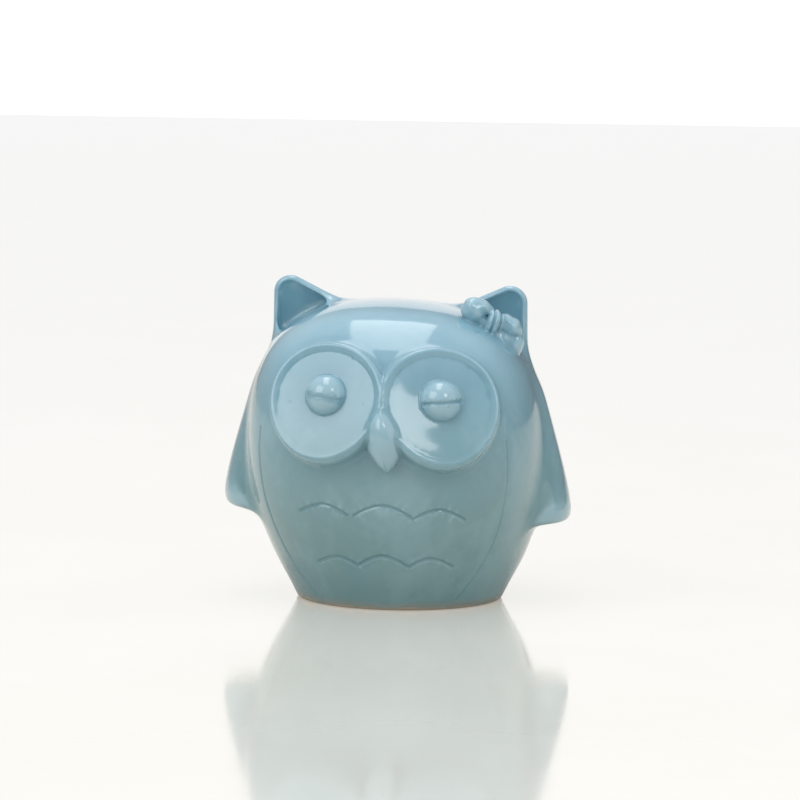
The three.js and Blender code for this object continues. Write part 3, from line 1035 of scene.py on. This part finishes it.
def fired_surface_group():
    """Small unevenness of a fired surface: a soft dimple, fine pinholes and a little handling dust."""
    group, n, given, result = node_group(
        "Fired surface",
        [("Dimple", 0.5), ("Pinholes", 0.3), ("Roughness", 0.1), ("Wear", 0.1)],
        ["Height", "Roughness", "Specks"],
    )
    place = n.add("ShaderNodeTexCoord").outputs["Object"]
    soft = n.noise(place, 110.0, 2.0, 0.5)
    broad = n.noise(place, 28.0, 1.0, 0.4)
    height = n.maths("MULTIPLY", n.maths("ADD", soft, n.maths("MULTIPLY", broad, 2.2)), given["Dimple"])
    pits = n.add("ShaderNodeTexVoronoi", None, Vector=place, Scale=170.0).outputs["Distance"]
    rare = n.ramp(n.noise(place, 60.0, 1.0), 0.66, 0.72)
    pit = n.maths("MULTIPLY", n.ramp(pits, 0.16, 0.05), rare)
    height = n.maths("SUBTRACT", height, n.maths("MULTIPLY", pit, given["Pinholes"]))
    scuff = n.ramp(n.noise(place, 190.0, 5.0, 0.7), 0.5, 0.72)
    smudge = n.ramp(n.noise(place, 24.0, 3.0, 0.6), 0.42, 0.68)
    rough = n.maths("MULTIPLY", n.maths("MULTIPLY", scuff, smudge), given["Wear"])
    n.feed(result, "Height", height)
    n.feed(result, "Roughness", n.maths("ADD", given["Roughness"], rough))
    n.feed(result, "Specks", pit)
    return group


def glaze_material(look):
    """Glossy glaze over pale clay, left bare on the standing ring, in the recess and inside."""
    material = bpy.data.materials.new("Blue celadon glaze")
    material.use_nodes = True
    n = Nodes(material.node_tree)
    n.tree.nodes.clear()
    depth = n.add("ShaderNodeGroup", {"node_tree": glaze_depth_group()})
    surface = n.add("ShaderNodeGroup", {"node_tree": fired_surface_group()})
    for name, value in (("Pooling", look.pooling), ("Breaking", look.breaking), ("Clouding", look.clouding)):
        depth.inputs[name].default_value = value
    finish = (("Dimple", 0.6), ("Pinholes", 0.5), ("Roughness", look.gloss_roughness), ("Wear", 0.12))
    for name, value in finish:
        surface.inputs[name].default_value = value
    place = n.add("ShaderNodeTexCoord").outputs["Object"]
    height = n.add("ShaderNodeSeparateXYZ", None, Vector=place).outputs["Z"]
    above = n.add("ShaderNodeAttribute", {"attribute_name": "above_egg"}).outputs["Fac"]

    # Painted shade: the glaze turns greener and darker towards the foot. The green is the glaze's own
    # colour, and the darkening stands in for shade on the low belly.
    low = n.ramp(height, 0.086, 0.02)
    base = n.mix(n.maths("MULTIPLY", low, 0.85), tuple(look.upper_colour), tuple(look.shaded_lower_colour))
    cloud = depth.outputs["Cloud"]
    base = n.mix(n.maths("MAXIMUM", cloud, 0.0), base, tuple(look.thin_colour))
    base = n.mix(n.maths("MAXIMUM", n.maths("MULTIPLY", cloud, -1.0), 0.0), base, tuple(look.pool_colour))
    base = n.mix(n.maths("MULTIPLY", depth.outputs["Thick"], 0.42), base, tuple(look.pool_colour))
    base = n.mix(n.maths("MULTIPLY", depth.outputs["Thin"], 0.6), base, tuple(look.thin_colour))
    base = n.mix(n.maths("MULTIPLY", surface.outputs["Specks"], 0.25), base, (0.16, 0.2, 0.2, 1.0))

    wander = n.maths("MULTIPLY", n.maths("SUBTRACT", n.noise(place, 130.0, 2.0), 0.5), 0.0016)
    foot = n.ramp(n.maths("ADD", height, wander), 0.0012, 0.0004)
    inner = n.ramp(n.maths("ADD", above, n.maths("MULTIPLY", wander, 800.0)), -2.9, -3.7)
    bare = n.maths("MAXIMUM", foot, inner)
    grit = n.noise(place, 420.0, 4.0, 0.7)
    clay = n.mix(grit, tuple(look.clay_colour), tuple(c * 0.72 for c in look.clay_colour[:3]) + (1.0,))
    rim = n.ramp(n.maths("ADD", height, wander), 0.0034, 0.0009)
    stained = n.mix(n.maths("MULTIPLY", rim, 0.55), base, (0.30, 0.24, 0.17, 1.0))
    colour = n.mix(bare, stained, clay)
    rough = n.maths("ADD", surface.outputs["Roughness"], n.maths("MULTIPLY", bare, 0.6), clamp=True)
    rasp = n.maths("MULTIPLY", n.maths("MULTIPLY", grit, bare), 1.5)
    bump_height = n.maths("ADD", surface.outputs["Height"], rasp)
    bump = n.add("ShaderNodeBump", None, Strength=look.bump, Distance=0.0003, Height=bump_height)
    shader = n.add("ShaderNodeBsdfPrincipled", None, Roughness=rough, Normal=bump.outputs[0])
    n.feed(shader, "Base Color", colour)
    shader.inputs["IOR"].default_value = 1.5
    n.feed(shader, "Coat Weight", n.maths("MULTIPLY", n.maths("SUBTRACT", 1.0, bare), 0.95))
    shader.inputs["Coat Roughness"].default_value = 0.08
    n.add("ShaderNodeOutputMaterial", None, Surface=shader.outputs[0])
    return material


def stopper_material(look):
    """Milky soft plastic, a little dusty."""
    material = bpy.data.materials.new("Milky soft plastic")
    material.use_nodes = True
    n = Nodes(material.node_tree)
    n.tree.nodes.clear()
    surface = n.add("ShaderNodeGroup", {"node_tree": bpy.data.node_groups["Fired surface"]})
    for name, value in (("Dimple", 0.25), ("Pinholes", 0.2), ("Roughness", 0.38), ("Wear", 0.3)):
        surface.inputs[name].default_value = value
    place = n.add("ShaderNodeTexCoord").outputs["Object"]
    dust = n.ramp(n.noise(place, 210.0, 5.0, 0.65), 0.45, 0.7)
    colour = n.mix(n.maths("MULTIPLY", dust, 0.35), tuple(look.stopper_colour), (0.52, 0.49, 0.43, 1.0))
    bump = n.add("ShaderNodeBump", None, Strength=0.3, Distance=0.0002, Height=surface.outputs["Height"])
    shader = n.add("ShaderNodeBsdfPrincipled", None, Normal=bump.outputs[0])
    n.feed(shader, "Base Color", colour)
    n.feed(shader, "Roughness", surface.outputs["Roughness"])
    n.add("ShaderNodeOutputMaterial", None, Surface=shader.outputs[0])
    return material


def floor_material():
    """Polished pale table top that glows a little from below, and throws back less light than it shows."""
    material = bpy.data.materials.new("Pale table top")
    material.use_nodes = True
    n = Nodes(material.node_tree)
    n.tree.nodes.clear()
    place = n.add("ShaderNodeTexCoord").outputs["Object"]
    veil = n.ramp(n.noise(place, 9.0, 4.0, 0.6), 0.35, 0.65)
    seen = n.mix(veil, (0.80, 0.775, 0.71, 1.0), (0.83, 0.805, 0.745, 1.0))
    rough = n.ramp(n.noise(place, 30.0, 3.0, 0.6), 0.3, 0.7, 0.07, 0.1)
    lit = n.add("ShaderNodeEmission", None, Color=seen, Strength=1.42)
    matt = n.add("ShaderNodeBsdfDiffuse", None, Color=seen)
    body = n.add("ShaderNodeMixShader", None, Fac=0.4)
    polish = n.add("ShaderNodeBsdfGlossy", None, Color=(1.0, 1.0, 1.0, 1.0), Roughness=rough)
    sheen = n.maths("MULTIPLY", n.add("ShaderNodeFresnel", None, IOR=1.5).outputs[0], 1.3)
    shown = n.add("ShaderNodeMixShader", None, Fac=sheen)
    bounce = n.add("ShaderNodeBsdfDiffuse", None, Color=(0.80, 0.77, 0.71, 1.0))
    eye = n.add("ShaderNodeLightPath").outputs["Is Camera Ray"]
    both = n.add("ShaderNodeMixShader", None, Fac=eye)
    link = n.tree.links.new
    link(lit.outputs[0], body.inputs[1])
    link(matt.outputs[0], body.inputs[2])
    link(body.outputs[0], shown.inputs[1])
    link(polish.outputs[0], shown.inputs[2])
    link(bounce.outputs[0], both.inputs[1])
    link(shown.outputs[0], both.inputs[2])
    n.add("ShaderNodeOutputMaterial", None, Surface=both.outputs[0])
    return material


def backdrop_material():
    """An evenly lit white backdrop, dimmer in reflections than straight on."""
    material = bpy.data.materials.new("White backdrop")
    material.use_nodes = True
    n = Nodes(material.node_tree)
    n.tree.nodes.clear()
    eye = n.add("ShaderNodeLightPath").outputs["Is Camera Ray"]
    level = n.ramp(eye, 0.0, 1.0, 0.92, 1.25)
    glow = n.add("ShaderNodeEmission", None, Color=(1.0, 1.0, 1.0, 1.0), Strength=level)
    n.add("ShaderNodeOutputMaterial", None, Surface=glow.outputs[0])
    return material


def room_light(strength):
    """Even light from all round, brighter overhead than at the sides and dimmer behind on the right."""
    world = bpy.data.worlds.new("Room")
    world.use_nodes = True
    n = Nodes(world.node_tree)
    n.tree.nodes.clear()
    way = n.add("ShaderNodeTexCoord").outputs["Generated"]
    up = n.add("ShaderNodeSeparateXYZ", None, Vector=way).outputs["Z"]
    level = n.ramp(up, -0.1, 0.9, strength * 0.55, strength * 1.5)
    dim_side = n.add("ShaderNodeVectorMath", {"operation": "DOT_PRODUCT"})
    n.feed(dim_side, "#0", way)
    n.feed(dim_side, "#1", (0.35, 0.94, 0.0))
    level = n.maths("MULTIPLY", level, n.ramp(dim_side.outputs["Value"], 0.5, 0.95, 1.0, 0.4))
    light = n.add("ShaderNodeBackground", None, Color=(0.95, 0.98, 1.0, 1.0), Strength=level)
    n.add("ShaderNodeOutputWorld", None, Surface=light.outputs[0])
    return world


# ---- Stopper ----
def turned_mesh(outline, segments, name):
    """A closed solid turned round Z from an outline that starts and ends on the axis, in mm."""
    outline = np.array(outline, float)
    angle = np.linspace(0, 2 * np.pi, segments, endpoint=False)
    middle = outline[1:-1]
    rings = np.stack(
        [
            np.outer(middle[:, 0], np.cos(angle)),
            np.outer(middle[:, 0], np.sin(angle)),
            np.repeat(middle[:, 1][:, None], segments, 1),
        ],
        axis=2,
    )
    points = np.vstack([[0, 0, outline[0, 1]], rings.reshape(-1, 3), [0, 0, outline[-1, 1]]])
    faces = []
    after = np.roll(np.arange(segments), -1)
    for i in range(segments):
        faces.append((0, 1 + after[i], 1 + i))
        top = 1 + (len(middle) - 1) * segments
        faces.append((len(points) - 1, top + i, top + after[i]))
        for low in range(1, top, segments):
            high = low + segments
            faces.append((low + i, low + after[i], high + after[i], high + i))
    mesh = bpy.data.meshes.new(name)
    mesh.from_pydata(points.tolist(), [], faces)
    return mesh


def rounded(outline, radius, steps=4):
    """An outline whose inner corners are replaced by small arcs."""
    outline = [np.array(p, float) for p in outline]
    made = [outline[0]]
    for before, here, after in zip(outline, outline[1:], outline[2:]):
        reach = min(radius, np.linalg.norm(before - here) / 2.01, np.linalg.norm(after - here) / 2.01)
        start = here + (before - here) / np.linalg.norm(before - here) * reach
        end = here + (after - here) / np.linalg.norm(after - here) * reach
        for t in np.linspace(0, 1, steps):
            made.append((1 - t) ** 2 * start + 2 * t * (1 - t) * here + t * t * end)
    return made + [outline[-1]]


# ---- What a user would change ----
def colour(name, description, value):
    return bpy.props.FloatVectorProperty(
        name=name, description=description, default=value, subtype="COLOR", size=4, min=0, max=1
    )


def number(name, description, value, **more):
    return bpy.props.FloatProperty(name=name, description=description, default=value, **more)


class OwlBankGlaze(bpy.types.PropertyGroup):
    """Colours and finish of the glaze, the clay and the stopper."""

    upper_colour: colour("Upper glaze", "Glaze on the head and wings", (0.235, 0.440, 0.550, 1.0))
    # Glaze low on the belly: greener, and also darker there as painted shade.
    shaded_lower_colour: colour("Lower glaze", "Thicker glaze low on the belly", (0.146, 0.273, 0.276, 1.0))
    pool_colour: colour("Pooled glaze", "Glaze gathered in hollows and lines", (0.090, 0.260, 0.335, 1.0))
    thin_colour: colour("Thin glaze", "Glaze drawn thin over ridges", (0.400, 0.600, 0.690, 1.0))
    clay_colour: colour("Bare clay", "Unglazed standing ring and inside", (0.56, 0.47, 0.36, 1.0))
    stopper_colour: colour("Stopper", "Soft plastic of the stopper", (0.74, 0.72, 0.66, 1.0))
    pooling: number("Pooling", "How strongly glaze gathers in hollows", 1.0, min=0, max=2)
    breaking: number("Breaking", "How strongly glaze thins on ridges", 1.0, min=0, max=2)
    clouding: number("Clouding", "Soft unevenness of the glaze colour", 0.16, min=0, max=1)
    gloss_roughness: number("Gloss roughness", "Roughness of the fired glaze", 0.13, min=0, max=1)
    bump: number("Dimple depth", "Strength of the glaze's soft dimples", 0.16, min=0, max=1)


class OwlBankStopper(bpy.types.PropertyGroup):
    """Sizes of the stopper in the foot, in metres."""

    flange_radius: number("Flange radius", "Radius of the stopper's flat flange", 0.0195, unit="LENGTH")
    rib_radius: number("Rib radius", "Radius over the sealing ribs", 0.0156, unit="LENGTH")
    grip_length: number("Grip length", "Length of the finger grip", 0.017, unit="LENGTH")


class OwlBankStudio(bpy.types.PropertyGroup):
    """Camera and lights."""

    azimuth: number("Camera azimuth", "Camera angle round the owl", rad(6.2), unit="ROTATION")
    elevation: number("Camera elevation", "Camera angle above the table", rad(6.3), unit="ROTATION")
    roll: number("Camera roll", "Tilt of the picture", rad(0.6), unit="ROTATION")
    distance: number("Camera distance", "From the camera to the owl", 1.365, unit="LENGTH")
    lens: number("Lens", "Focal length in millimetres", 202.5)
    aim_side: number("Aim side", "Point the camera looks at, sideways", 0.0007, unit="LENGTH")
    aim_height: number("Aim height", "Point the camera looks at, above the table", 0.0600, unit="LENGTH")
    top_light: number("Top light", "Power of the overhead light in watts", 1.5)
    side_light: number("Side lights", "Power of the left light in watts; the others have less", 3.8)
    sky: number("Room light", "Strength of the even light all round", 0.58)


CASTING = {}  # the skin that is left: its data, triangles and the names of the pieces still in it
MADE = {}  # the glaze and the finished ceramic pieces


def settings():
    scene = bpy.context.scene
    return scene.owl_bank_glaze, scene.owl_bank_stopper, scene.owl_bank_studio


def make_piece(name, backs):
    data, tris = take_piece(CASTING, name)
    MADE[name] = piece_object(name + "_glazed", data, tris, backs, MADE["glaze"], name)


# Backs for each kind of piece: depth under the egg, how soon it falls away, and whether it
# follows the egg or is a plain cone inwards.
FLAT_BACK = [(1.2, 3.0, True), (1.0, 1.0, False)]
DISC_BACK = [(4.0, 2.5, True), (1.4, 1.0, False)]
SHELL_BACK = [(4.4, 12.0, True), (1.7, 12.0, True)]
CONE_BACK = [(1.0, 1.0, False)]
BEAK_BACK = [(2.2, 1.0, False)]


class OWLBANK_OT_casting(bpy.types.Operator):
    """Find the skin of the whole casting and scratch its lines."""

    bl_idname = "owl_bank.casting"
    bl_label = "Casting"

    def execute(self, context):
        MADE["glaze"] = glaze_material(settings()[0])
        data, tris = make_casting(MADE["glaze"])
        CASTING.update(data=data, tris=tris, left=list(PARTS))
        return {"FINISHED"}


class OWLBANK_OT_eyes(bpy.types.Operator):
    """Cut out the two domed eyes."""

    bl_idname = "owl_bank.eyes"
    bl_label = "Eyes"

    def execute(self, context):
        for name in ("left_eye", "right_eye"):
            make_piece(name, CONE_BACK)
        return {"FINISHED"}


class OWLBANK_OT_eye_discs(bpy.types.Operator):
    """Cut out the two dished eye plates."""

    bl_idname = "owl_bank.eye_discs"
    bl_label = "Eye plates"

    def execute(self, context):
        for name in ("left_eye_disc", "right_eye_disc"):
            make_piece(name, DISC_BACK)
        return {"FINISHED"}


class OWLBANK_OT_beak(bpy.types.Operator):
    """Cut out the beak."""

    bl_idname = "owl_bank.beak"
    bl_label = "Beak"

    def execute(self, context):
        make_piece("beak", BEAK_BACK)
        return {"FINISHED"}


class OWLBANK_OT_bow(bpy.types.Operator):
    """Cut out the bow's knot and two loops."""

    bl_idname = "owl_bank.bow"
    bl_label = "Bow"

    def execute(self, context):
        for name in ("bow_knot", "bow_inner_loop", "bow_outer_loop"):
            make_piece(name, CONE_BACK)
        return {"FINISHED"}


class OWLBANK_OT_ears(bpy.types.Operator):
    """Cut out the two cupped ears."""

    bl_idname = "owl_bank.ears"
    bl_label = "Ears"

    def execute(self, context):
        for name in ("left_ear", "right_ear"):
            make_piece(name, FLAT_BACK)
        return {"FINISHED"}


class OWLBANK_OT_wings(bpy.types.Operator):
    """Cut out the two wings."""

    bl_idname = "owl_bank.wings"
    bl_label = "Wings"

    def execute(self, context):
        for name in ("left_wing", "right_wing"):
            make_piece(name, FLAT_BACK)
        return {"FINISHED"}


class OWLBANK_OT_shell(bpy.types.Operator):
    """Close what is left of the casting as the hollow body."""

    bl_idname = "owl_bank.shell"
    bl_label = "Hollow body"

    def execute(self, context):
        if CASTING.get("left") != ["body_shell"]:
            raise RuntimeError("cut out every other piece before the body")
        data, tris = CASTING["data"], CASTING["tris"]
        shell = piece_object("body_shell_glazed", data, tris, SHELL_BACK, MADE["glaze"], "body_shell")
        MADE["body_shell"] = shell
        return {"FINISHED"}


class OWLBANK_OT_stopper(bpy.types.Operator):
    """Turn the soft stopper with its ribs and finger grip."""

    bl_idname = "owl_bank.stopper"
    bl_label = "Stopper"

    def execute(self, context):
        sizes = settings()[1]
        flange, rib = sizes.flange_radius / MM, sizes.rib_radius / MM
        neck = rib - 0.7
        low, high, nose = 2.2, 3.7, 10.5
        outline = [(0, low), (flange - 0.2, low), (flange, low + 0.3), (flange, high), (neck, high)]
        for foot in (4.7, 6.5):
            outline += [(neck, foot), (rib, foot + 0.5), (rib, foot + 0.9), (neck, foot + 1.4)]
        outline += [(neck - 1.2, nose - 0.6), (neck - 1.9, nose), (0, nose)]
        mesh = turned_mesh(rounded(outline, 0.35), 128, "stopper")
        thing = add_object(mesh, "stopper_moulded")
        grip = stopper_grip(sizes.grip_length / MM)
        grip_object = add_object(grip, "grip")
        union = thing.modifiers.new("grip", "BOOLEAN")
        union.operation, union.solver, union.object = "UNION", "EXACT", grip_object
        shown = thing.evaluated_get(context.evaluated_depsgraph_get())
        joined = bpy.data.meshes.new_from_object(shown)
        thing.modifiers.clear()
        thing.data = joined
        bpy.data.objects.remove(grip_object)
        joined.transform(Matrix.Translation((0, SET_BACK, 0)))
        joined.transform(Matrix.Scale(MM, 4))
        joined.materials.clear()
        joined.materials.append(stopper_material(settings()[0]))
        for polygon in joined.polygons:
            polygon.use_smooth = True
        joined.set_sharp_from_angle(angle=rad(40))
        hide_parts("stopper")
        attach(thing, "stopper")
        return {"FINISHED"}


def stopper_grip(length):
    """A bar with round ends and a rounded lower edge, in mm."""
    half, wide = length / 2, 1.5
    turn = np.linspace(-np.pi / 2, np.pi / 2, 13)
    ring = np.vstack([
        np.column_stack([half - wide + wide * np.cos(turn), wide * np.sin(turn)]),
        np.column_stack([-half + wide - wide * np.cos(turn), -wide * np.sin(turn)]),
    ])
    levels = [(0.72, 0.5), (0.8, 0.26), (0.95, 0.1), (1.15, 0.0), (2.9, 0.0)]
    points, faces = [], []
    for z, tuck in levels:
        inward = ring / np.maximum(np.linalg.norm(ring, axis=1)[:, None], 1e-6) * tuck
        points += [(x, y, z) for x, y in ring - inward]
    count = len(ring)
    last = (len(levels) - 1) * count
    for low in range(0, last, count):
        for i in range(count):
            j = (i + 1) % count
            faces.append((low + i, low + j, low + count + j, low + count + i))
    faces.append(tuple(reversed(range(count))))
    faces.append(tuple(range(last, last + count)))
    mesh = bpy.data.meshes.new("grip")
    mesh.from_pydata(points, [], faces)
    return mesh


def area_light(name, place, aim, size, power):
    light = bpy.data.lights.new(name, "AREA")
    light.shape = "RECTANGLE"
    light.size, light.size_y = size
    light.energy = power
    thing = bpy.data.objects.new(name, light)
    thing.location = place
    thing.rotation_euler = (Vector(aim) - Vector(place)).to_track_quat("-Z", "Y").to_euler()
    bpy.context.scene.collection.objects.link(thing)
    return thing


def sheet_mesh(name, corners):
    mesh = bpy.data.meshes.new(name)
    mesh.from_pydata(corners, [], [(0, 1, 2, 3)])
    return mesh


TABLE = [(-6, -4, 0), (6, -4, 0), (6, 4, 0), (-6, 4, 0)]
BACKDROP = [(-1.4, 3, -0.1), (0.5, 3, -0.1), (0.5, 3, 1.6), (-1.4, 3, 1.6)]


class OWLBANK_OT_studio(bpy.types.Operator):
    """Set up the table, the lights and the camera."""

    bl_idname = "owl_bank.studio"
    bl_label = "Studio"

    def execute(self, context):
        scene = context.scene
        look = settings()[2]
        table = add_object(sheet_mesh("table", TABLE), "table")
        table.data.materials.append(floor_material())
        backdrop = add_object(sheet_mesh("backdrop", BACKDROP), "backdrop")
        backdrop.data.materials.append(backdrop_material())
        backdrop.visible_diffuse = False
        backdrop.visible_shadow = False
        middle, under_top = (0, 0, 0.05), (-0.05, 0.10, 0)
        lights = [
            area_light("top light", (-0.05, 0.10, 0.85), under_top, (0.30, 0.80), look.top_light),
            area_light("right light", (0.68, -0.75, 0.87), middle, (0.30, 0.34), look.side_light * 0.27),
            area_light("fill light", (1.35, -0.35, 0.42), middle, (0.9, 0.8), look.side_light * 0.34),
            area_light("left light", (-0.72, -0.77, 0.81), middle, (0.86, 0.78), look.side_light),
        ]
        scene.world = room_light(look.sky)
        scene.view_settings.view_transform = "Standard"
        camera_data = bpy.data.cameras.new("camera")
        camera_data.sensor_width = 36.0
        camera_data.lens = look.lens
        camera = bpy.data.objects.new("camera", camera_data)
        scene.collection.objects.link(camera)
        a, e, r = look.azimuth, look.elevation, look.roll
        back = Vector((math.sin(a) * math.cos(e), -math.cos(a) * math.cos(e), math.sin(e)))
        right = Vector((math.cos(a), math.sin(a), 0.0))
        up = back.cross(right)
        aim = right * look.aim_side + Vector((0, SET_BACK * MM, look.aim_height))
        turned = [right * math.cos(r) + up * math.sin(r), up * math.cos(r) - right * math.sin(r), back]
        place = Matrix.Translation(aim + back * look.distance)
        camera.matrix_world = place @ Matrix(turned).transposed().to_4x4()
        scene.camera = camera
        return {"FINISHED"}


OPERATORS = [
    OWLBANK_OT_casting,
    OWLBANK_OT_eyes,
    OWLBANK_OT_beak,
    OWLBANK_OT_eye_discs,
    OWLBANK_OT_bow,
    OWLBANK_OT_ears,
    OWLBANK_OT_wings,
    OWLBANK_OT_shell,
    OWLBANK_OT_stopper,
    OWLBANK_OT_studio,
]


class OWLBANK_PT_panel(bpy.types.Panel):
    """Builds the owl bank piece by piece."""

    bl_idname = "OWLBANK_PT_panel"
    bl_label = "Owl Bank"
    bl_space_type = "VIEW_3D"
    bl_region_type = "UI"
    bl_category = "Owl Bank"

    def draw(self, context):
        for operator in OPERATORS:
            self.layout.operator(operator.bl_idname)
        for group in settings():
            box = self.layout.box()
            for name in group.__annotations__:
                box.prop(group, name)


CLASSES = [OwlBankGlaze, OwlBankStopper, OwlBankStudio, *OPERATORS, OWLBANK_PT_panel]


def register():
    for cls in CLASSES:
        bpy.utils.register_class(cls)
    scene = bpy.types.Scene
    scene.owl_bank_glaze = bpy.props.PointerProperty(type=OwlBankGlaze)
    scene.owl_bank_stopper = bpy.props.PointerProperty(type=OwlBankStopper)
    scene.owl_bank_studio = bpy.props.PointerProperty(type=OwlBankStudio)


def unregister():
    for name in ("owl_bank_glaze", "owl_bank_stopper", "owl_bank_studio"):
        delattr(bpy.types.Scene, name)
    for cls in reversed(CLASSES):
        bpy.utils.unregister_class(cls)


def main():
    register()
    for operator in OPERATORS:
        group, name = operator.bl_idname.split(".")
        getattr(getattr(bpy.ops, group), name)()


if __name__ == "__main__":
    main()
